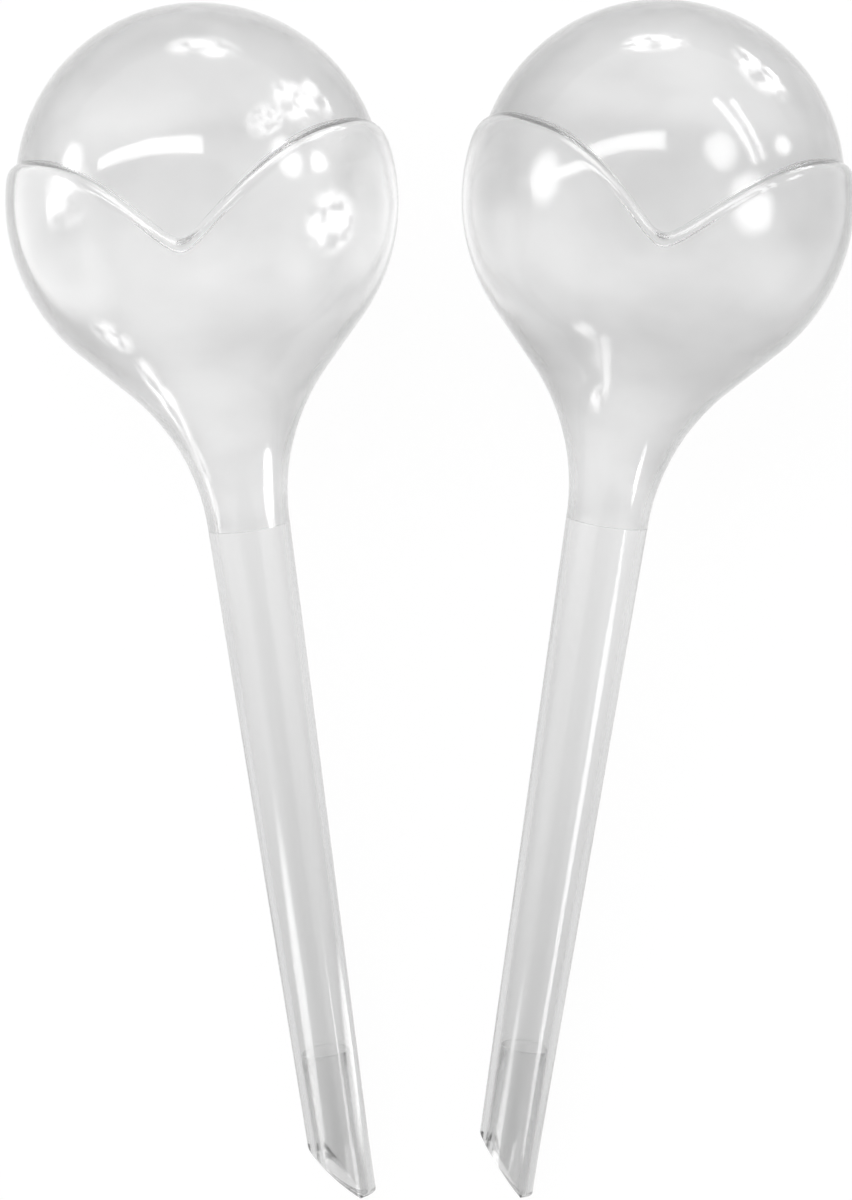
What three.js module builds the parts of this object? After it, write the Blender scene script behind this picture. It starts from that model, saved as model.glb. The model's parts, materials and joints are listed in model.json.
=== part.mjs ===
// A pair of clear plant water drippers lying side by side on a flat surface.
// Millimetres, +Z up, bulbs towards +Y and points towards -Y.
// Each dripper is a dome held by a three-petal cup, on a hollow stem with a slant-cut point.
import * as THREE from 'three';

// Bulb, measured from the centre of the cup along the dripper's own axis
const cupRadius = 43.3; // outside of the petal cup, a sphere
const ledgeWidth = 2.7; // how far the cup stands proud of the dome
const domeRise = 3.2; // centre of the dome above the centre of the cup
const domeWall = 1.3;
const cupWall = 1.6;

// Petal rim
const petalCount = 3;
const petalCrest = 14.8; // top of a petal above the centre of the cup
const petalDepth = 19.1; // from the top of a petal down to the notch between two
const petalFullness = 2.8; // power of the petal's curve, higher for a rounder petal
const notchRounding = 0.04; // part of a half petal over which the notch turns
const ledgeDrop = 2.2; // height in which the ledge rounds over into the cup
const domeLap = 3; // depth of the dome's edge inside the rim
const seatFoot = 3; // height in which the seat under the dome runs out into the wall

// Funnel and neck
const funnelHalfAngle = THREE.MathUtils.degToRad(43); // where the bulb turns into the neck curve
const neckFillet = 48.5; // radius of the hollow curve from the bulb to the stem
const neckLap = 6; // overlap of the stem inside the neck

// Stem
const stemTopRadius = 9.2;
const stemTipRadius = 7.05;
const stemWall = 1.6;
const stemReach = 229; // blunt end of the point below the centre of the cup
const cutAngle = THREE.MathUtils.degToRad(42); // between the slant cut and the axis
const cutRise = 12.5; // upper end of the slant cut above the blunt end
const cutFacing = THREE.MathUtils.degToRad(-90); // about the axis from the front notch

// Drip nozzle, a sleeve in the end of the stem
const nozzleLength = 34;
const nozzleWall = 1.5;

// Fits
const clearance = 0.3;

// How the two drippers lie
const bulbSpacing = 100.5;
const leftYaw = THREE.MathUtils.degToRad(7.45);
const rightYaw = THREE.MathUtils.degToRad(-8.95);
const leftRoll = THREE.MathUtils.degToRad(-7.1);
const rightRoll = THREE.MathUtils.degToRad(-0.2);

// Facets
const bulbColumns = petalCount * 12;
const stemColumns = 24;
const domeRings = 8;
const cupRings = 7;
const filletRings = 5;
const ledgeRings = 3;

// Values that follow from the sizes above
const domeRadius = cupRadius - ledgeWidth;
const seatRadius = domeRadius + clearance;
const domeInside = domeRadius - domeWall;
const cupInside = cupRadius - cupWall;
const boreTop = stemTopRadius - stemWall;
const boreTip = stemTipRadius - stemWall;
const funnelSine = Math.sin(funnelHalfAngle);
const funnelCosine = Math.cos(funnelHalfAngle);
const filletAxis = stemTopRadius + neckFillet;
const neckEnd = (funnelCosine * filletAxis - cupRadius - neckFillet) / funnelSine;
const spigotRadius = stemTopRadius - (stemWall + clearance) / 2;
const socketRadius = spigotRadius + clearance;
const socketEnd = neckEnd + neckLap;
const insideRun = funnelCosine * boreTop - funnelSine * socketEnd - cupInside;
const insideFillet = insideRun / (1 - funnelCosine);
const shoulder = neckEnd - clearance;
const pointEnd = -stemReach;
const cutTop = pointEnd + cutRise;
const nozzleTop = pointEnd + nozzleLength;

// Height of the petal rim at an azimuth, where the ledge meets the dome
function rimHeight(azimuth) {
  const petals = (azimuth * petalCount) / (2 * Math.PI);
  const fromNotch = Math.abs(petals - Math.round(petals)) * 2;
  const rounded = Math.hypot(fromNotch, notchRounding) - notchRounding;
  const share = 1 - rounded / (Math.hypot(1, notchRounding) - notchRounding);
  return petalCrest - petalDepth * share ** petalFullness;
}

// Point at a height on a sphere about the dripper's axis
function onSphere(radius, height, centre = 0) {
  return new THREE.Vector2(Math.sqrt(radius ** 2 - (height - centre) ** 2), height);
}

// Points along a sphere between two heights, both ends included
function sphereArc(radius, centre, from, to, rings) {
  const start = Math.asin((from - centre) / radius);
  const end = Math.asin((to - centre) / radius);
  return Array.from({ length: rings + 1 }, (_, ring) => {
    const angle = THREE.MathUtils.lerp(start, end, ring / rings);
    return new THREE.Vector2(radius * Math.cos(angle), centre + radius * Math.sin(angle));
  });
}

// Points of a neck fillet, from a tube of one radius ending at a height up to the funnel
function filletArc(tube, end, radius) {
  return Array.from({ length: filletRings + 1 }, (_, ring) => {
    const angle = (funnelHalfAngle * ring) / filletRings;
    const out = tube + radius * (1 - Math.cos(angle));
    return new THREE.Vector2(out, end + radius * Math.sin(angle));
  });
}

// Closed body swept round the axis from a section that may change with the azimuth.
// The section runs down the outside and back up the inside.
function revolve(sectionAt, columns) {
  const positions = [];
  const grid = [];
  for (let column = 0; column < columns; column += 1) {
    const azimuth = (column / columns) * 2 * Math.PI;
    grid.push(
      sectionAt(azimuth).map((point, row) => {
        if (point.x === 0 && column > 0) return grid[0][row];
        positions.push(point.x * Math.sin(azimuth), point.y, point.x * Math.cos(azimuth));
        return positions.length / 3 - 1;
      }),
    );
  }
  const triangles = [];
  const addTriangle = (a, b, c) => {
    if (a !== b && b !== c && c !== a) triangles.push(a, b, c);
  };
  grid.forEach((here, column) => {
    const next = grid[(column + 1) % columns];
    here.forEach((corner, row) => {
      const below = (row + 1) % here.length;
      addTriangle(corner, here[below], next[row]);
      addTriangle(here[below], next[below], next[row]);
    });
  });
  const geometry = new THREE.BufferGeometry();
  geometry.setAttribute('position', new THREE.Float32BufferAttribute(positions, 3));
  geometry.setIndex(triangles);
  geometry.computeVertexNormals();
  return geometry;
}

// Dome: a thin shell whose lower edge follows the petals inside the rim
function domeSection(azimuth) {
  const edge = rimHeight(azimuth) - domeLap + clearance;
  const top = domeRise + domeRadius;
  const ceiling = domeRise + domeInside;
  const outside = sphereArc(domeRadius, domeRise, top, edge, domeRings);
  const inside = sphereArc(domeInside, domeRise, edge, ceiling, domeRings);
  outside[0].x = 0;
  inside[domeRings].x = 0;
  return [...outside, ...inside];
}

// Petal cup: rounded ledge, bulb, funnel and neck, with a seat for the dome and a socket for the stem
function cupSection(azimuth) {
  const rim = rimHeight(azimuth);
  const seat = rim - domeLap;
  const rimTop = onSphere(seatRadius, rim, domeRise);
  const ledgeFoot = onSphere(cupRadius, rim - ledgeDrop);
  const ledgeSlope = ledgeFoot.y / ledgeFoot.x;
  const ledgeCorner = new THREE.Vector2(ledgeFoot.x - ledgeSlope * ledgeDrop, rim);
  const ledge = new THREE.QuadraticBezierCurve(rimTop, ledgeCorner, ledgeFoot);
  const funnelTop = -cupRadius * funnelSine;
  const funnelTopInside = -cupInside * funnelSine;
  return [
    ...ledge.getPoints(ledgeRings).slice(0, -1),
    ...sphereArc(cupRadius, 0, ledgeFoot.y, funnelTop, cupRings),
    ...filletArc(stemTopRadius, neckEnd, neckFillet).reverse(),
    new THREE.Vector2(socketRadius, neckEnd),
    new THREE.Vector2(socketRadius, socketEnd),
    ...filletArc(boreTop, socketEnd, insideFillet),
    ...sphereArc(cupInside, 0, funnelTopInside, seat - seatFoot, cupRings),
    onSphere(domeInside, seat, domeRise),
    onSphere(seatRadius, seat, domeRise),
  ];
}

// Height of the slant cut over a point of the stem's end, blunted at the point
function cutHeight(radius, azimuth) {
  const towardsFacing = radius * Math.cos(azimuth - cutFacing);
  const slant = cutTop - (stemTipRadius - towardsFacing) / Math.tan(cutAngle);
  return Math.max(slant, pointEnd);
}

// Outside radius of the stem at a height on its taper
function stemRadius(height) {
  return THREE.MathUtils.mapLinear(height, shoulder, cutTop, stemTopRadius, stemTipRadius);
}

// Stem: spigot, shoulder, tapered tube and slant-cut point
function stemSection(azimuth) {
  const spigotTop = socketEnd - clearance;
  return [
    new THREE.Vector2(spigotRadius, spigotTop),
    new THREE.Vector2(spigotRadius, shoulder),
    new THREE.Vector2(stemTopRadius, shoulder),
    new THREE.Vector2(stemTipRadius, cutTop),
    new THREE.Vector2(stemTipRadius, cutHeight(stemTipRadius, azimuth)),
    new THREE.Vector2(boreTip, cutHeight(boreTip, azimuth)),
    new THREE.Vector2(boreTip, cutTop),
    new THREE.Vector2(boreTop, shoulder),
    new THREE.Vector2(boreTop, spigotTop),
  ];
}

// Drip nozzle: a sleeve along the bore, cut flush with the stem
function nozzleSection(azimuth) {
  const topOutside = stemRadius(nozzleTop) - stemWall - clearance;
  const tipOutside = boreTip - clearance;
  const tipInside = tipOutside - nozzleWall;
  return [
    new THREE.Vector2(topOutside, nozzleTop),
    new THREE.Vector2(tipOutside, cutTop),
    new THREE.Vector2(tipOutside, cutHeight(tipOutside, azimuth)),
    new THREE.Vector2(tipInside, cutHeight(tipInside, azimuth)),
    new THREE.Vector2(tipInside, cutTop),
    new THREE.Vector2(topOutside - nozzleWall, nozzleTop),
  ];
}

function clearPlastic() {
  return new THREE.MeshStandardMaterial({
    color: 0xe4e6e6,
    roughness: 0.06,
    metalness: 0,
    transparent: true,
    opacity: 0.35,
  });
}

// One dripper, its axis along +Y and its front notch towards +Z
function makeDripper(side) {
  const dripper = new THREE.Group();
  const addPiece = (name, geometry) => {
    const piece = new THREE.Mesh(geometry, clearPlastic());
    piece.name = `${side}_${name}`;
    dripper.add(piece);
  };
  addPiece('dome', revolve(domeSection, bulbColumns));
  addPiece('petal_cup', revolve(cupSection, bulbColumns));
  addPiece('stem', revolve(stemSection, stemColumns));
  addPiece('drip_nozzle', revolve(nozzleSection, stemColumns));
  return dripper;
}

// Lays a dripper down: the cup and the underside of the point both touch the surface
function layDown(dripper, across, yaw, roll) {
  const toContact = -cutHeight(0, 0);
  const reach = Math.hypot(toContact, stemTipRadius);
  const pitch = Math.asin(cupRadius / reach) - Math.atan2(stemTipRadius, toContact);
  dripper.rotation.set(pitch, roll, yaw, 'ZXY');
  dripper.position.x = across;
  dripper.position.z -= new THREE.Box3().setFromObject(dripper, true).min.z;
  return dripper;
}

const pair = new THREE.Group();
pair.add(layDown(makeDripper('left'), -bulbSpacing / 2, leftYaw, leftRoll));
pair.add(layDown(makeDripper('right'), bulbSpacing / 2, rightYaw, rightRoll));

// The origin is under the middle of the pair, on the surface
const middle = new THREE.Box3().setFromObject(pair, true).getCenter(new THREE.Vector3());
pair.position.set(-middle.x, -middle.y, 0);

export default pair;
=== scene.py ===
import json
import math

import bmesh
import bpy
from mathutils import Matrix, Vector


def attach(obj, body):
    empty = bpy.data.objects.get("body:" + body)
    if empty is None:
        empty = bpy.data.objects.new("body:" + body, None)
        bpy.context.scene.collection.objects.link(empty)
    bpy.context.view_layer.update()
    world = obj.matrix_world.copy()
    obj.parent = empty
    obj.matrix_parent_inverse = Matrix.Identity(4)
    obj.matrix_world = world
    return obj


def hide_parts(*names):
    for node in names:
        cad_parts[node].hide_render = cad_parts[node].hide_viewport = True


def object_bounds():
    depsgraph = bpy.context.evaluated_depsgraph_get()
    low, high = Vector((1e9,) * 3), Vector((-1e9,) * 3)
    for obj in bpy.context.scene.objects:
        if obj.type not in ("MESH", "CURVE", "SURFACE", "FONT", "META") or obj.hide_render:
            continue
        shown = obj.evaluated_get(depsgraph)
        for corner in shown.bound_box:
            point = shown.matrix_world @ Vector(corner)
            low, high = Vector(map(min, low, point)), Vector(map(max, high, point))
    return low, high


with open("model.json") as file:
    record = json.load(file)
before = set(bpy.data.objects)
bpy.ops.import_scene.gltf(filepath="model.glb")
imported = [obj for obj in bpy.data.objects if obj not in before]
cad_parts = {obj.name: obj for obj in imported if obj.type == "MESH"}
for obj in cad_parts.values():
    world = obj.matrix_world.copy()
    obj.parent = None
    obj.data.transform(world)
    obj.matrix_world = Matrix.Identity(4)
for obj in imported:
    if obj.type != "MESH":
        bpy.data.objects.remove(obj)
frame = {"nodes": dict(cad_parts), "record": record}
cadLow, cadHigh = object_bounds()
mm = 0.001
weldDistance = 0.001 * mm  # points closer than this are one
sharpAngle = math.radians(40)  # an edge that turns more than this stays sharp
scene = bpy.context.scene
print("frame loaded:", ", ".join(sorted(frame["nodes"])))


# Camera, straight above the pair with the bulbs at the top of the picture
shot = {
    "height": 950,  # mm above the surface that the pair lies on
    "focalPixels": 4107,  # for a picture 1200 pixels high
    "pictureHeight": 1200,
    "sensor": 36,
    "across": -1.5,  # mm from the middle of the pair to the middle of the picture
    "along": 2.45,
    "roll": -0.4,  # degrees
}


def makeCamera():
    lens = bpy.data.cameras.new("camera")
    lens.sensor_width = shot["sensor"]
    lens.lens = shot["sensor"] * shot["focalPixels"] / shot["pictureHeight"]
    camera = bpy.data.objects.new("camera", lens)
    middle = (cadLow + cadHigh) / 2
    camera.location = (middle.x + shot["across"] * mm, middle.y + shot["along"] * mm, shot["height"] * mm)
    camera.rotation_euler = (0, 0, math.radians(shot["roll"]))
    scene.collection.objects.link(camera)
    scene.camera = camera


makeCamera()
print("camera made")


# Profiles are drawn like a pen line in a dripper's own frame: x out from the axis, y up the axis, in mm
def startAt(bm, out, up):
    return bm.verts.new((out * mm, up * mm, 0))


def lineTo(bm, vert, out, up):
    drawn = bmesh.ops.extrude_vert_indiv(bm, verts=[vert])
    drawn["verts"][0].co = (out * mm, up * mm, 0)
    return drawn["verts"][0]


def arcRound(bm, vert, centre, degrees, steps):
    drawn = bmesh.ops.spin(
        bm,
        geom=[vert],
        cent=(centre[0] * mm, centre[1] * mm, 0),
        axis=(0, 0, 1),
        angle=math.radians(degrees),
        steps=steps,
    )
    return next(item for item in drawn["geom_last"] if isinstance(item, bmesh.types.BMVert))


def curveTo(bm, vert, corner, end, steps):
    start = vert.co.xy / mm
    for step in range(1, steps + 1):
        share = step / steps
        point = start.lerp(Vector(corner), share).lerp(Vector(corner).lerp(Vector(end), share), share)
        vert = lineTo(bm, vert, point.x, point.y)
    return vert


def closeLine(bm, first, last):
    bm.edges.new((last, first))


def spinRound(bm, columns):
    bmesh.ops.spin(
        bm,
        geom=bm.verts[:] + bm.edges[:],
        cent=(0, 0, 0),
        axis=(0, 1, 0),
        angle=2 * math.pi,
        steps=columns,
        use_merge=True,
    )
    bmesh.ops.remove_doubles(bm, verts=bm.verts[:], dist=weldDistance)
    bmesh.ops.recalc_face_normals(bm, faces=bm.faces[:])


def onSphere(radius, up, centre=0):
    return math.sqrt(radius**2 - (up - centre) ** 2)


# The bulb's common sizes, in mm from the centre of the cup
bulb = {
    "cupRadius": 43.3,
    "domeRadius": 40.6,
    "domeWall": 1.3,
    "domeRise": 3.2,  # centre of the dome above the centre of the cup
    "petals": 3,
    "petalTurn": 1.2,  # degrees, how far the notches lie to the right of the front
    "crest": 14.8,  # top of a petal
    "depth": 19.1,  # from the top of a petal down to the notch
    "fullness": (2.8, 2.2),  # of the petal to the left and to the right of a notch
    "notchRounding": 0.08,
    "columns": 240,
}


# Height of the petal rim round the axis, from the front
def rimHeight(azimuth):
    petals = (azimuth - math.radians(bulb["petalTurn"])) * bulb["petals"] / (2 * math.pi)
    past = petals - round(petals)
    rounding = bulb["notchRounding"]
    rounded = math.hypot(past * 2, rounding) - rounding
    share = max(0, 1 - rounded / (math.hypot(1, rounding) - rounding))
    return bulb["crest"] - bulb["depth"] * share ** bulb["fullness"][past > 0]


# Laying down: each dripper's axis and point come from the stem's own mount, its roll is as photographed
lying = {
    "left": {"body": "left_dripper", "mount": "left_soil_stem", "roll": -7.1, "cloudShift": 0},
    "right": {"body": "right_dripper", "mount": "right_soil_stem", "roll": -0.2, "cloudShift": 150},
}
mounts = {mount["name"]: mount for mount in frame["record"]["mounts"]}


def layingMatrix(side):
    mount = mounts[lying[side]["mount"]]
    upAxis = -Vector(mount["axis"]).normalized()
    across = upAxis.cross(Vector((0, 0, 1))).normalized()
    front = across.cross(upAxis)
    turn = Matrix((across, upAxis, front)).transposed().to_4x4()
    roll = Matrix.Rotation(math.radians(lying[side]["roll"]), 4, "Y")
    return Matrix.Translation(mount["pos_m"]) @ turn @ roll @ Matrix.Translation((0, stem["reach"] * mm, 0))


inwardLimit = -0.3  # a face that looks this far back towards the axis is the inside of a wall


def finishPiece(bm, side, name, material):
    place = bm.verts.layers.float_vector.new("ownPlace")  # place in the dripper's own frame, for its patterns
    cloudShift = Vector((lying[side]["cloudShift"] * mm, 0, 0))  # so that the two aren't clouded alike
    for vert in bm.verts:
        vert[place] = vert.co + cloudShift
    within = bm.faces.layers.float.new("within")  # 1 on the inside of a wall, which is less smooth
    for face in bm.faces:
        face.smooth = True
        middle = face.calc_center_median()
        outward = Vector((middle.x, max(middle.y, 0), middle.z))
        face[within] = 1 if face.normal.dot(outward.normalized()) < inwardLimit else 0
    bmesh.ops.transform(bm, matrix=layingMatrix(side), verts=bm.verts[:])
    mesh = bpy.data.meshes.new(f"{side}_clear_{name}")
    bm.to_mesh(mesh)
    bm.free()
    mesh.set_sharp_from_angle(angle=sharpAngle)
    mesh.materials.append(material)
    piece = bpy.data.objects.new(mesh.name, mesh)
    scene.collection.objects.link(piece)
    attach(piece, lying[side]["body"])
    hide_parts(f"{side}_{name}")
    print("made", piece.name, len(mesh.polygons), "faces")
    return piece


# Dome: a thin cap whose lower edge follows the petals and stands on the rim
dome = {
    "seam": 0.03,  # gap over the rim
    "rings": 40,
}


def makeDome(side, material):
    bm = bmesh.new()
    rise = bulb["domeRise"]
    outside = bulb["domeRadius"]
    inside = outside - bulb["domeWall"]
    edge = bulb["crest"] + dome["seam"]
    first = startAt(bm, 0, rise + outside)
    arcRound(bm, first, (0, rise), -math.degrees(math.acos((edge - rise) / outside)), dome["rings"])
    second = startAt(bm, 0, rise + inside)
    arcRound(bm, second, (0, rise), -math.degrees(math.acos((edge - rise) / inside)), dome["rings"])
    edgeEnds = [vert for vert in bm.verts if abs(vert.co.y - edge * mm) < weldDistance]
    bm.edges.new(edgeEnds)
    spinRound(bm, bulb["columns"])
    for vert in bm.verts:  # each meridian is stretched down to the petal rim
        azimuth = math.atan2(vert.co.x, vert.co.z)
        up = vert.co.y / mm - rise
        out = math.hypot(vert.co.x, vert.co.z) / mm
        radius = math.hypot(out, up)
        turn = math.acos((edge - rise) / radius)
        reach = math.acos((rimHeight(azimuth) + dome["seam"] - rise) / radius)
        angle = math.atan2(out, up) * reach / turn
        flat = radius * math.sin(angle)
        place = (flat * math.sin(azimuth), rise + radius * math.cos(angle), flat * math.cos(azimuth))
        vert.co = Vector(place) * mm
    return finishPiece(bm, side, "dome", material)


# Petal cup: a rounded step under the dome, bulb, funnel and neck
cup = {
    "wall": 1.6,
    "ledgeDrop": 2.2,  # height in which the ledge rounds over into the cup
    "lipWall": 1.4,  # thickness of the step under the dome
    "lipDrop": 1.6,  # height in which the inside of the step rounds out into the wall
    "funnelAngle": 43,
    "neckFillet": 48.5,
    "neckRadius": 9.2,
    "rings": 48,
    "stepRings": 8,
}


def makeCup(side, material):
    bm = bmesh.new()
    turn = math.radians(cup["funnelAngle"])
    rise = bulb["domeRise"]
    domeInside = bulb["domeRadius"] - bulb["domeWall"]
    outside = bulb["cupRadius"]
    inside = outside - cup["wall"]
    filletOut = cup["neckRadius"] + cup["neckFillet"]
    neckEnd = (math.cos(turn) * filletOut - outside - cup["neckFillet"]) / math.sin(turn)
    rim = bulb["crest"]
    footUp = rim - cup["ledgeDrop"]
    footOut = onSphere(outside, footUp)
    lipUp = rim - cup["lipWall"]
    wallUp = lipUp - cup["lipDrop"]

    first = startAt(bm, onSphere(bulb["domeRadius"], rim, rise), rim)
    ledgeCorner = (footOut - cup["ledgeDrop"] * footUp / footOut, rim)
    pen = curveTo(bm, first, ledgeCorner, (footOut, footUp), cup["stepRings"])
    sweep = math.degrees(math.asin(footUp / outside)) + cup["funnelAngle"]
    pen = arcRound(bm, pen, (0, 0), -sweep, cup["rings"])
    funnelRun = cup["neckFillet"] * (1 - math.cos(turn))
    pen = lineTo(bm, pen, cup["neckRadius"] + funnelRun, neckEnd + cup["neckFillet"] * math.sin(turn))
    pen = arcRound(bm, pen, (filletOut, neckEnd), cup["funnelAngle"], cup["rings"] // 2)
    pen = lineTo(bm, pen, cup["neckRadius"] - cup["wall"], neckEnd)
    pen = arcRound(bm, pen, (filletOut, neckEnd), -cup["funnelAngle"], cup["rings"] // 2)
    pen = lineTo(bm, pen, inside * math.cos(turn), -inside * math.sin(turn))
    climb = math.degrees(math.asin(wallUp / inside)) + cup["funnelAngle"]
    pen = arcRound(bm, pen, (0, 0), climb, cup["rings"])
    stepOut = onSphere(inside, lipUp)
    stepIn = onSphere(domeInside, lipUp, rise)
    pen = curveTo(bm, pen, (stepOut, lipUp), ((stepOut + stepIn) / 2, lipUp), cup["stepRings"])
    pen = curveTo(bm, pen, (stepIn, lipUp), (onSphere(domeInside, rim, rise), rim), cup["stepRings"])
    closeLine(bm, first, pen)
    spinRound(bm, bulb["columns"])

    funnelUp = -outside * math.sin(turn)
    for vert in bm.verts:  # each height slides along its meridian so that the rim follows the petals
        up = vert.co.y / mm
        if up <= funnelUp:
            continue
        azimuth = math.atan2(vert.co.x, vert.co.z)
        share = min(1, (up - funnelUp) / (wallUp - funnelUp))
        ease = share * share * (3 - 2 * share)
        moved = up + (rimHeight(azimuth) - rim) * ease
        out = math.hypot(vert.co.x, vert.co.z) / mm
        wallScale = onSphere(outside, moved) / onSphere(outside, up)
        domeShift = onSphere(domeInside, moved, rise) - onSphere(domeInside, up, rise)
        if up < wallUp:
            newOut = out * wallScale
        else:  # the step keeps its two ends on the dome and on the cup
            inner = onSphere(domeInside, up, rise)
            across = (out - inner) / (onSphere(outside, up) - inner)
            newOut = (1 - across) * (out + domeShift) + across * out * wallScale
        vert.co = Vector((newOut * math.sin(azimuth), moved, newOut * math.cos(azimuth))) * mm
    return finishPiece(bm, side, "petal_cup", material)


# Stem: tapered tube with a slant-cut point, butted to the neck
stem = {
    "reach": 229,  # blunt end below the centre of the cup
    "shoulder": -72.75,  # just under the neck
    "topRadius": 9.2,
    "tipRadius": 7.05,
    "wall": 1.6,
    "cutAngle": 42,  # between the slant cut and the axis
    "cutRise": 12.5,  # upper end of the slant cut above the blunt end
    "cutRound": 0.6,  # rounding of the outer edge of the cut
    "cutSegments": 4,
    "edgeSlack": 0.1,  # how far inside the outer surface still counts as its edge
    "edgeMargin": 1,  # and how far above the slant cut
    "spare": 4,  # length past the blunt end that the cuts take off
    "columns": 96,
}


# Cuts the point of a tube: the slant face to the left of the front, then the blunt end
def cutPoint(bm):
    slope = math.radians(stem["cutAngle"])
    top = Vector((-stem["tipRadius"], stem["cutRise"] - stem["reach"], 0)) * mm
    cuts = (  # place, direction, and what closes the cut: a ring on the slant, a crescent on the blunt end
        (top, Vector((-math.cos(slope), -math.sin(slope), 0)), bmesh.ops.bridge_loops),
        (Vector((0, -stem["reach"], 0)) * mm, Vector((0, -1, 0)), bmesh.ops.holes_fill),
    )
    for place, outward, closeCut in cuts:
        bmesh.ops.bisect_plane(
            bm,
            geom=bm.verts[:] + bm.edges[:] + bm.faces[:],
            dist=weldDistance,
            plane_co=place,
            plane_no=outward,
            clear_outer=True,
        )
        openEdges = [edge for edge in bm.edges if edge.is_boundary]
        closeCut(bm, edges=openEdges)
    bmesh.ops.recalc_face_normals(bm, faces=bm.faces[:])


def makeStem(side, material):
    bm = bmesh.new()
    past = -stem["reach"] - stem["spare"]
    cutTop = stem["cutRise"] - stem["reach"]
    first = startAt(bm, stem["topRadius"], stem["shoulder"])
    pen = lineTo(bm, first, stem["tipRadius"], cutTop)
    pen = lineTo(bm, pen, stem["tipRadius"], past)
    pen = lineTo(bm, pen, stem["tipRadius"] - stem["wall"], past)
    pen = lineTo(bm, pen, stem["tipRadius"] - stem["wall"], cutTop)
    pen = lineTo(bm, pen, stem["topRadius"] - stem["wall"], stem["shoulder"])
    closeLine(bm, first, pen)
    spinRound(bm, stem["columns"])
    cutPoint(bm)
    outer = (stem["tipRadius"] - stem["edgeSlack"]) * mm
    cutEdges = []
    for edge in bm.edges:
        onOutside = all(math.hypot(vert.co.x, vert.co.z) > outer for vert in edge.verts)
        below = all(vert.co.y < (cutTop + stem["edgeMargin"]) * mm for vert in edge.verts)
        if onOutside and below and edge.calc_face_angle(0) > sharpAngle:
            cutEdges.append(edge)
    bmesh.ops.bevel(
        bm,
        geom=cutEdges,
        offset=stem["cutRound"] * mm,
        affect="EDGES",
        segments=stem["cutSegments"],
        profile=0.5,
        clamp_overlap=True,
        material=-1,
    )
    return finishPiece(bm, side, "stem", material)


# Drip nozzle: a sleeve along the bore, cut flush with the stem
nozzle = {
    "length": 34,
    "wall": 1.5,
    "gap": 0.3,
    "leadIn": 4,  # length in which the upper end thins out
    "thinEnd": 0.3,  # wall left at that end
}


def makeNozzle(side, material):
    bm = bmesh.new()
    past = -stem["reach"] - stem["spare"]
    cutTop = stem["cutRise"] - stem["reach"]
    top = nozzle["length"] - stem["reach"]
    along = (top - stem["shoulder"]) / (cutTop - stem["shoulder"])
    stemThere = stem["topRadius"] + along * (stem["tipRadius"] - stem["topRadius"])
    topOut = stemThere - stem["wall"] - nozzle["gap"]
    tipOut = stem["tipRadius"] - stem["wall"] - nozzle["gap"]
    first = startAt(bm, topOut, top)
    pen = lineTo(bm, first, tipOut, cutTop)
    pen = lineTo(bm, pen, tipOut, past)
    pen = lineTo(bm, pen, tipOut - nozzle["wall"], past)
    pen = lineTo(bm, pen, tipOut - nozzle["wall"], cutTop)
    pen = lineTo(bm, pen, topOut - nozzle["wall"], top - nozzle["leadIn"])
    pen = lineTo(bm, pen, topOut - nozzle["thinEnd"], top)
    closeLine(bm, first, pen)
    spinRound(bm, stem["columns"])
    cutPoint(bm)
    return finishPiece(bm, side, "drip_nozzle", material)


# Materials
def hexColour(text):
    parts = [int(text[place:place + 2], 16) / 255 for place in (1, 3, 5)]
    return [part / 12.92 if part <= 0.04045 else ((part + 0.055) / 1.055) ** 2.4 for part in parts] + [1]


def addNode(tree, kind, values=None, links=None, **settings):
    node = tree.nodes.new(kind)
    for key, value in settings.items():
        setattr(node, key, value)
    named = {socket.identifier: socket for socket in node.inputs}  # a Mix node's sockets share their names
    for key, value in (values or {}).items():
        socket = named[key] if key in named else node.inputs[key]
        socket.default_value = value
    for key, source in (links or {}).items():
        socket = named[key] if key in named else node.inputs[key]
        tree.links.new(source, socket)
    return node


# Clear polypropylene, blown thin in a polished mould: glossy outside and slightly hazy inside, so that what
# lies behind it blurs, with ripples in the wall. Its faint grey clouds are painted shade, for the duller room
# seen through the wall
shellFinish = {
    "ior": 1.46,
    "clear": "#FFFFFF",
    "shadeCloud": "#D8D8D8",
    "shadeCloudShare": (0.02, 0.4),  # of the painted shade's grey, between the clouds and in them
    "shadeCloudSize": (34, 24),  # mm across and along one cloud
    "tipShare": 0,  # how much more of it there is at the point
    "edgeShadeColour": "#000000",
    "edgeShadeDensity": 20,  # per metre of wall, a painted shade that draws the edges dark, where a ray runs long in the wall
    "rippleSize": (13, 13),  # mm across and along one ripple
    "rippleHeight": 0.2,  # mm
    "gloss": (0.08, 0.12),  # roughness of the outside
    "matt": (0.3, 0.36),  # roughness of the inside
}
# The right-hand bulb is a shaded copy of the same plastic, with more painted shade in its clouds
shadedShellFinish = {
    **shellFinish,
    "shadeCloudShare": (0.12, 0.5),
}
# The same plastic drawn out into the stem: streaks along it, and a thicker, greyer wall towards the point
tubeFinish = {
    "ior": 1.46,
    "clear": "#FFFFFF",
    # Painted shade: grey streaks along the stem, and a black absorption that darkens its edges
    "shadeCloud": "#D8D8D8",
    "shadeCloudShare": (0, 0.12),
    "shadeCloudSize": (5, 60),
    "tipShare": 0.55,
    "edgeShadeColour": "#000000",
    "edgeShadeDensity": 45,
    "rippleSize": (4, 45),
    "rippleHeight": 0.08,
    "gloss": (0.08, 0.12),
    "matt": (0.12, 0.2),
}
# The nozzle is moulded, thin and clear, so that the point shows it as a faint second wall
nozzleFinish = {
    **tubeFinish,
    # Less painted shade in its clouds and along its edges
    "shadeCloudShare": (0, 0.1),
    "tipShare": 0,
    "edgeShadeDensity": 6,
    "matt": (0.1, 0.14),
}


noiseSpan = (0.35, 0.65)  # the middle of a noise's values, where nearly all of them lie
noiseDetail = {"ripple": 1, "shadeCloud": 4}


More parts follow.
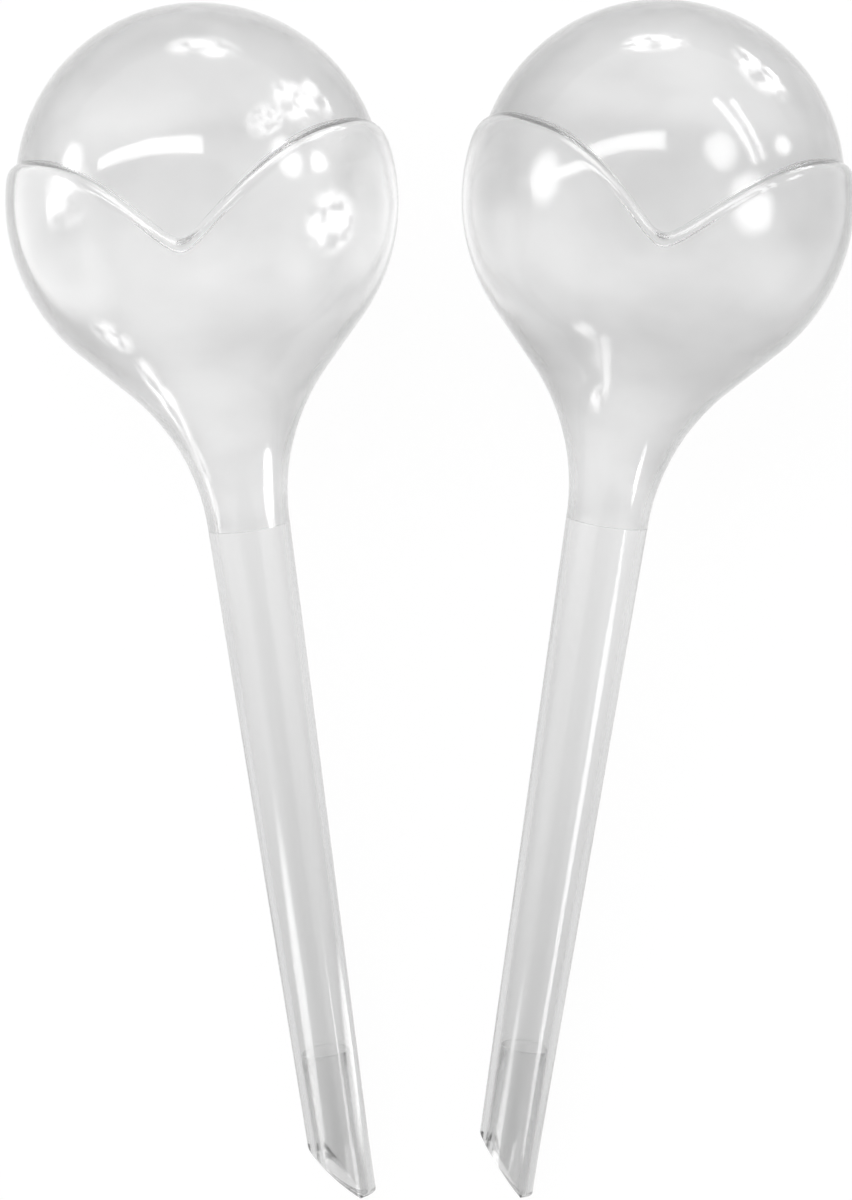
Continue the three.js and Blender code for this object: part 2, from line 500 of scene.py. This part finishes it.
def clearPlastic(name, finish):
    material = bpy.data.materials.new(name)
    material.use_nodes = True
    tree = material.node_tree
    tree.nodes.clear()
    place = addNode(tree, "ShaderNodeAttribute", attribute_name="ownPlace")
    within = addNode(tree, "ShaderNodeAttribute", attribute_name="within")
    noises = {}
    for pattern, detail in noiseDetail.items():
        across, along = finish[pattern + "Size"]
        scale = (1 / (across * mm), 1 / (along * mm), 1 / (across * mm))
        spread = addNode(tree, "ShaderNodeMapping", {"Scale": scale}, {"Vector": place.outputs["Vector"]})
        noises[pattern] = addNode(
            tree, "ShaderNodeTexNoise", {"Scale": 1, "Detail": detail}, {"Vector": spread.outputs["Vector"]}
        ).outputs["Fac"]
    bump = addNode(
        tree,
        "ShaderNodeBump",
        {"Strength": 1, "Distance": finish["rippleHeight"] * mm},
        {"Height": noises["ripple"]},
    )
    clouded = {}  # what the clouds change, from its value between them to its value in them
    for use in ("shadeCloudShare", "gloss", "matt"):
        low, high = finish[use]
        clouded[use] = addNode(
            tree,
            "ShaderNodeMapRange",
            {"From Min": noiseSpan[0], "From Max": noiseSpan[1], "To Min": low, "To Max": high},
            {"Value": noises["shadeCloud"]},
        ).outputs[0]
    height = addNode(tree, "ShaderNodeSeparateXYZ", links={0: place.outputs["Vector"]})
    towardsTip = addNode(
        tree,
        "ShaderNodeMapRange",
        {"From Min": stem["shoulder"] * mm, "From Max": -stem["reach"] * mm, "To Max": finish["tipShare"]},
        {"Value": height.outputs["Y"]},
    )
    grey = addNode(
        tree, "ShaderNodeMath", links={0: clouded["shadeCloudShare"], 1: towardsTip.outputs[0]}, operation="ADD"
    )
    # The colour: clear, turning grey with the painted shade of the clouds and with the greyer point
    tint = addNode(
        tree,
        "ShaderNodeMix",
        {"A_Color": hexColour(finish["clear"]), "B_Color": hexColour(finish["shadeCloud"])},
        {"Factor_Float": grey.outputs[0]},
        data_type="RGBA",
    )
    roughness = addNode(
        tree,
        "ShaderNodeMix",
        links={
            "Factor_Float": within.outputs["Fac"],
            "A_Float": clouded["gloss"],
            "B_Float": clouded["matt"],
        },
    )
    surface = addNode(
        tree,
        "ShaderNodeBsdfPrincipled",
        {"IOR": finish["ior"], "Transmission Weight": 1},
        {
            "Base Color": tint.outputs[2],
            "Roughness": roughness.outputs[0],
            "Normal": bump.outputs["Normal"],
        },
    )
    # A black absorption in the wall: painted shade, darkest along the edges where a ray runs long in it
    wall = addNode(
        tree,
        "ShaderNodeVolumeAbsorption",
        {"Color": hexColour(finish["edgeShadeColour"]), "Density": finish["edgeShadeDensity"]},
    )
    addNode(
        tree,
        "ShaderNodeOutputMaterial",
        links={"Surface": surface.outputs["BSDF"], "Volume": wall.outputs["Volume"]},
    )
    return material


shellPlastic = {
    "left": clearPlastic("clear_polypropylene_blown_shell", shellFinish),
    "right": clearPlastic("misty_polypropylene_blown_shell", shadedShellFinish),
}
tubePlastic = clearPlastic("clear_polypropylene_drawn_tube", tubeFinish)
nozzlePlastic = clearPlastic("clear_polypropylene_moulded_sleeve", nozzleFinish)
print("materials made")

for sideName in lying:
    makeDome(sideName, shellPlastic[sideName])
    makeCup(sideName, shellPlastic[sideName])
    makeStem(sideName, tubePlastic)
    makeNozzle(sideName, nozzlePlastic)
print("drippers made")


# Stage: a white floor that keeps a faint shadow
stage = {
    "size": 6,  # m
    "drop": 0.1,  # mm under the pair
    "colour": "#FAFAFA",
    "whiteShare": 0.97,  # of what shows as plain white, the rest is the lit floor with its shadow
}


# 1 where the floor is seen, straight or in and through the plastic
def seenRays(tree):
    path = addNode(tree, "ShaderNodeLightPath")
    either = addNode(
        tree,
        "ShaderNodeMath",
        links={0: path.outputs["Is Camera Ray"], 1: path.outputs["Is Glossy Ray"]},
        operation="MAXIMUM",
    )
    seen = addNode(
        tree,
        "ShaderNodeMath",
        links={0: either.outputs[0], 1: path.outputs["Is Transmission Ray"]},
        operation="MAXIMUM",
    )
    return seen.outputs[0]


def makeFloor():
    material = bpy.data.materials.new("white_floor")
    material.use_nodes = True
    tree = material.node_tree
    tree.nodes.clear()
    share = addNode(
        tree, "ShaderNodeMath", {1: stage["whiteShare"]}, {0: seenRays(tree)}, operation="MULTIPLY"
    )
    lit = addNode(tree, "ShaderNodeBsdfDiffuse", {"Color": hexColour(stage["colour"])})
    white = addNode(tree, "ShaderNodeEmission", {"Color": (1, 1, 1, 1), "Strength": 1})
    mixed = addNode(
        tree,
        "ShaderNodeMixShader",
        links={0: share.outputs[0], 1: lit.outputs[0], 2: white.outputs[0]},
    )
    addNode(tree, "ShaderNodeOutputMaterial", links={"Surface": mixed.outputs[0]})
    bm = bmesh.new()
    bmesh.ops.create_grid(bm, x_segments=1, y_segments=1, size=stage["size"] / 2)
    mesh = bpy.data.meshes.new("floor")
    bm.to_mesh(mesh)
    bm.free()
    mesh.materials.append(material)
    mesh.transform(Matrix.Translation((0, 0, -stage["drop"] * mm)))
    floor = bpy.data.objects.new("floor", mesh)
    scene.collection.objects.link(floor)


# Light: a white room, lighter behind the bulbs and darker under the camera's hood, with a long lamp over
# the bulbs and windows and cards round the pair
room = {
    "glow": 1,
    "ceiling": 0.95,  # glow overhead
    "ceilingEdge": (0.35, 0.75),  # height of the direction where the walls turn into the ceiling
    "back": 0.55,  # how much lighter it is behind the bulbs
    "backEdge": (0.25, 0.65),
    "hood": 0.55,  # how much darker it is under the camera's dark hood
    "hoodLean": 14,  # degrees from straight above towards the points
    "hoodEdge": (32, 24),  # degrees out from its middle, where it starts and where it is full
}
# A lamp stands at a place and aims at another, in m, or it is placed by where its mirror image shows on a
# bulb: the ray's degrees from +X and above the horizon, and how far away it stands. A spot, in mm, is for a
# mirror image off the sphere. A side is the pieces that the lamp lights, as studio flags would have it.
lamps = (
    {"name": "longLamp", "at": (-1.95, 0.86, 2.0), "aim": (-1.95, 0.86, 0),
     "size": (4.1, 0.42), "glow": 10, "crisp": True},
    {"name": "leftTopBar", "side": "left", "turn": 88, "climb": -2, "away": 0.16,
     "size": (0.12, 0.07), "glow": 10, "broken": 4},
    {"name": "leftWindow", "side": "left", "turn": 42, "climb": 6, "away": 0.5,
     "size": (0.26, 0.28), "glow": 10, "broken": 5},
    {"name": "leftLowWindow", "side": "left", "turn": 39, "climb": -13, "away": 0.2,
     "size": (0.08, 0.11), "glow": 9, "broken": 3},
    {"name": "leftStreak", "side": "left", "turn": 42, "climb": 32, "away": 1,
     "size": (0.36, 0.6), "glow": 9, "broken": 7},
    {"name": "leftPaneA", "side": "left", "turn": 21, "climb": 32, "away": 1,
     "size": (0.34, 0.34), "glow": 9},
    {"name": "leftPaneB", "side": "left", "turn": 17, "climb": 12, "away": 0.6,
     "size": (0.16, 0.18), "glow": 9},
    {"name": "leftPaneC", "side": "left", "turn": 7, "climb": -5, "away": 0.3,
     "size": (0.04, 0.09), "glow": 6},
    {"name": "leftPatch", "side": "left", "turn": -12, "climb": 5, "away": 0.025,
     "size": (0.032, 0.032), "glow": 12, "broken": 4},
    {"name": "leftCupOuter", "side": "leftCup", "at": (-0.135, 0.075, 0.055), "aim": (-0.05, 0.075, 0.045),
     "size": (0.2, 0.15), "glow": 2.4},
    {"name": "leftCupInner", "side": "leftCup", "at": (-0.001, 0.075, 0.062), "aim": (-0.05, 0.075, 0.062),
     "size": (0.15, 0.1), "glow": 1.1},
    {"name": "leftCupBand", "side": "leftCup", "at": (-0.002, 0.084, 0.057), "aim": (-0.05, 0.084, 0.057),
     "size": (0.06, 0.03), "glow": 2},
    {"name": "leftCard", "side": "left", "turn": 180, "climb": 5, "away": 0.4,
     "size": (0.2, 0.4), "glow": 8, "broken": 2},
    {"name": "leftArcEnd", "side": "left", "turn": 167, "climb": 6, "away": 0.5,
     "size": (0.16, 0.22), "glow": 7},
    {"name": "leftFunnelA", "side": "left", "turn": -127, "climb": -21, "away": 0.1, "spot": (-68, 60, 67),
     "size": (0.05, 0.05), "glow": 6, "broken": 4},
    {"name": "leftFunnelB", "side": "left", "turn": -121, "climb": -30, "away": 0.06, "spot": (-57, 45, 52),
     "size": (0.02, 0.03), "glow": 6, "broken": 3},
    {"name": "leftNeck", "side": "leftCup", "at": (-0.004, 0.02, 0.05), "aim": (-0.037, 0.034, 0.04),
     "size": (0.022, 0.03), "glow": 4.5, "spread": 40, "broken": 6},
    {"name": "rightTopBar", "side": "right", "turn": 92, "climb": -4, "away": 0.16,
     "size": (0.11, 0.065), "glow": 10, "broken": 5},
    {"name": "rightLowWindow", "side": "right", "turn": 48, "climb": -13, "away": 0.2,
     "size": (0.13, 0.16), "glow": 9, "broken": 5},
    {"name": "rightSlitA", "side": "right", "turn": 33, "climb": 35, "away": 1.2,
     "size": (0.9, 0.09), "glow": 11, "crisp": True},
    {"name": "rightSlitB", "side": "right", "turn": 30, "climb": 27, "away": 1.2,
     "size": (0.75, 0.07), "glow": 11, "crisp": True},
    {"name": "rightPaneA", "side": "right", "turn": 25, "climb": 52, "away": 1,
     "size": (0.5, 0.45), "glow": 9},
    {"name": "rightPaneB", "side": "right", "turn": 17, "climb": 8, "away": 0.6,
     "size": (0.14, 0.18), "glow": 9},
    {"name": "rightPatch", "side": "right", "turn": -11, "climb": 35, "away": 1,
     "size": (0.55, 0.6), "glow": 9},
    {"name": "rightCard", "side": "right", "turn": 171, "climb": 17, "away": 0.6,
     "size": (0.36, 0.3), "glow": 8},
    {"name": "rightCupInner", "side": "rightCup", "at": (0.001, 0.075, 0.062), "aim": (0.05, 0.075, 0.062),
     "size": (0.15, 0.1), "glow": 1.1},
    {"name": "rightCupBand", "side": "rightCup", "at": (0.002, 0.084, 0.057), "aim": (0.05, 0.084, 0.057),
     "size": (0.06, 0.03), "glow": 1.2},
    {"name": "rightCupOuter", "side": "rightCup", "at": (0.135, 0.075, 0.055), "aim": (0.05, 0.075, 0.045),
     "size": (0.2, 0.15), "glow": 0.9},
    {"name": "rightFunnel", "side": "right", "turn": -119, "climb": -13, "away": 0.15, "spot": (36, 48, 56),
     "size": (0.07, 0.07), "glow": 7, "broken": 4},
    {"name": "rightNeck", "side": "rightCup", "at": (0.076, -0.006, 0.059), "aim": (0.044, 0.029, 0.042),
     "size": (0.014, 0.009), "glow": 4.5, "spread": 60, "broken": 4},
    {"name": "ledgeCard", "side": "cups", "at": (0, 0.6, 0.4), "aim": (0, 0.09, 0.06),
     "size": (1.1, 0.5), "glow": 7},
    {"name": "stemStrip", "side": "stems", "at": (0.841, -0.54, 0.57), "aim": (0.025, -0.05, 0.02),
     "size": (0.3, 0.3), "glow": 8, "crisp": True},
    {"name": "tipLeft", "side": "stems", "at": (-0.24, -0.23, 0.185), "aim": (-0.02, -0.1, 0.01),
     "size": (0.12, 0.24), "glow": 8},
    {"name": "tipBetween", "side": "stems", "at": (0, -0.105, 0.012), "aim": (-0.05, -0.105, 0.012),
     "size": (0.06, 0.02), "glow": 6},
)
litPieces = {
    "left": ("left_clear_dome", "left_clear_petal_cup"),
    "right": ("right_clear_dome", "right_clear_petal_cup"),
    "leftCup": ("left_clear_petal_cup",),
    "rightCup": ("right_clear_petal_cup",),
    "cups": ("left_clear_petal_cup", "right_clear_petal_cup"),
    "stems": ("left_clear_stem", "left_clear_drip_nozzle", "right_clear_stem", "right_clear_drip_nozzle"),
}


def makeRoom():
    world = bpy.data.worlds.new("room")
    world.use_nodes = True
    tree = world.node_tree
    tree.nodes.clear()
    direction = addNode(tree, "ShaderNodeTexCoord")
    height = addNode(tree, "ShaderNodeSeparateXYZ", links={0: direction.outputs["Generated"]})
    ceiling = addNode(
        tree,
        "ShaderNodeMapRange",
        {
            "From Min": room["ceilingEdge"][0],
            "From Max": room["ceilingEdge"][1],
            "To Min": room["glow"],
            "To Max": room["ceiling"],
        },
        {"Value": height.outputs["Z"]},
        interpolation_type="SMOOTHSTEP",
    )
    lean = math.radians(room["hoodLean"])
    towardsHood = addNode(
        tree,
        "ShaderNodeVectorMath",
        {1: (0, -math.sin(lean), math.cos(lean))},
        {0: direction.outputs["Generated"]},
        operation="DOT_PRODUCT",
    )
    hoodStart, hoodFull = (math.cos(math.radians(degrees)) for degrees in room["hoodEdge"])
    darker = addNode(
        tree,
        "ShaderNodeMapRange",
        {"From Min": hoodStart, "From Max": hoodFull, "To Min": 0, "To Max": room["hood"]},
        {"Value": towardsHood.outputs["Value"]},
        interpolation_type="SMOOTHSTEP",
    )
    lighter = addNode(
        tree,
        "ShaderNodeMapRange",
        {
            "From Min": room["backEdge"][0],
            "From Max": room["backEdge"][1],
            "To Min": 0,
            "To Max": room["back"],
        },
        {"Value": height.outputs["Y"]},
        interpolation_type="SMOOTHSTEP",
    )
    walls = addNode(
        tree, "ShaderNodeMath", links={0: ceiling.outputs[0], 1: lighter.outputs[0]}, operation="ADD"
    )
    strength = addNode(
        tree, "ShaderNodeMath", links={0: walls.outputs[0], 1: darker.outputs[0]}, operation="SUBTRACT"
    )
    glow = addNode(tree, "ShaderNodeBackground", {"Color": (1, 1, 1, 1)}, {"Strength": strength.outputs[0]})
    addNode(tree, "ShaderNodeOutputWorld", links={"Surface": glow.outputs[0]})
    scene.world = world


# A soft lamp fades out towards its edge, and a broken one is patchy, like a window that is partly hidden
softLamp = {
    "fade": (0.25, 0.5),  # from the lamp's middle, in parts of its size
    "patchEdge": (0.4, 0.55),  # values of the noise between dark and lit
    "patchDetail": 2,
}


def softenLamp(light, patches):
    light.use_nodes = True
    tree = light.node_tree
    tree.nodes.clear()
    place = addNode(tree, "ShaderNodeNewGeometry")
    centred = addNode(
        tree,
        "ShaderNodeVectorMath",
        {1: (0.5, 0.5, 0)},
        {0: place.outputs["Parametric"]},
        operation="SUBTRACT",
    )
    out = addNode(tree, "ShaderNodeVectorMath", links={0: centred.outputs[0]}, operation="LENGTH")
    fade = addNode(
        tree,
        "ShaderNodeMapRange",
        {"From Min": softLamp["fade"][0], "From Max": softLamp["fade"][1], "To Min": 1, "To Max": 0},
        {"Value": out.outputs["Value"]},
        interpolation_type="SMOOTHSTEP",
    )
    strength = fade.outputs["Result"]
    if patches:
        noise = addNode(
            tree,
            "ShaderNodeTexNoise",
            {"Scale": patches, "Detail": softLamp["patchDetail"]},
            {"Vector": place.outputs["Parametric"]},
        )
        gaps = addNode(
            tree,
            "ShaderNodeMapRange",
            {"From Min": softLamp["patchEdge"][0], "From Max": softLamp["patchEdge"][1]},
            {"Value": noise.outputs["Fac"]},
        )
        strength = addNode(
            tree, "ShaderNodeMath", links={0: strength, 1: gaps.outputs[0]}, operation="MULTIPLY"
        ).outputs[0]
    glow = addNode(tree, "ShaderNodeEmission", links={"Strength": strength})
    addNode(tree, "ShaderNodeOutputLight", links={"Surface": glow.outputs[0]})


# A bulb shows a lamp where its surface faces halfway between the lamp and the camera above
def mirrorPlace(lamp):
    turn = math.radians(lamp["turn"])
    climb = math.radians(lamp["climb"])
    ray = Vector((math.cos(climb) * math.cos(turn), math.cos(climb) * math.sin(turn), math.sin(climb)))
    facing = (ray + Vector((0, 0, 1))).normalized()
    if "spot" in lamp:
        spot = Vector(lamp["spot"]) * mm
    else:
        spot = layingMatrix(lamp["side"]).translation + facing * bulb["cupRadius"] * mm
    return spot + ray * lamp["away"], spot


def makeLamps():
    lit = {}
    for group, names in litPieces.items():
        lit[group] = bpy.data.collections.new(group)
        for name in names:
            lit[group].objects.link(bpy.data.objects[name])
    for lamp in lamps:
        light = bpy.data.lights.new(lamp["name"], "AREA")
        light.shape = "RECTANGLE"
        light.size, light.size_y = lamp["size"]
        light.spread = math.radians(lamp.get("spread", 180))
        light.energy = lamp["glow"] * math.pi * light.size * light.size_y
        if "turn" in lamp:
            place, target = mirrorPlace(lamp)
        else:
            place, target = Vector(lamp["at"]), Vector(lamp["aim"])
        if not lamp.get("crisp"):
            softenLamp(light, lamp.get("broken"))
        lightObject = bpy.data.objects.new(lamp["name"], light)
        lightObject.location = place
        lightObject.rotation_euler = (target - place).to_track_quat("-Z", "Y").to_euler()
        lightObject.visible_camera = False
        lightObject.visible_transmission = False
        if "side" in lamp:
            lightObject.light_linking.receiver_collection = lit[lamp["side"]]
        scene.collection.objects.link(lightObject)


makeFloor()
makeRoom()
makeLamps()
bounces = 48  # light runs a long way along a clear wall
scene.cycles.max_bounces = bounces
scene.cycles.glossy_bounces = bounces
scene.cycles.transmission_bounces = bounces
scene.view_settings.view_transform = "Standard"
print("stage and light made")
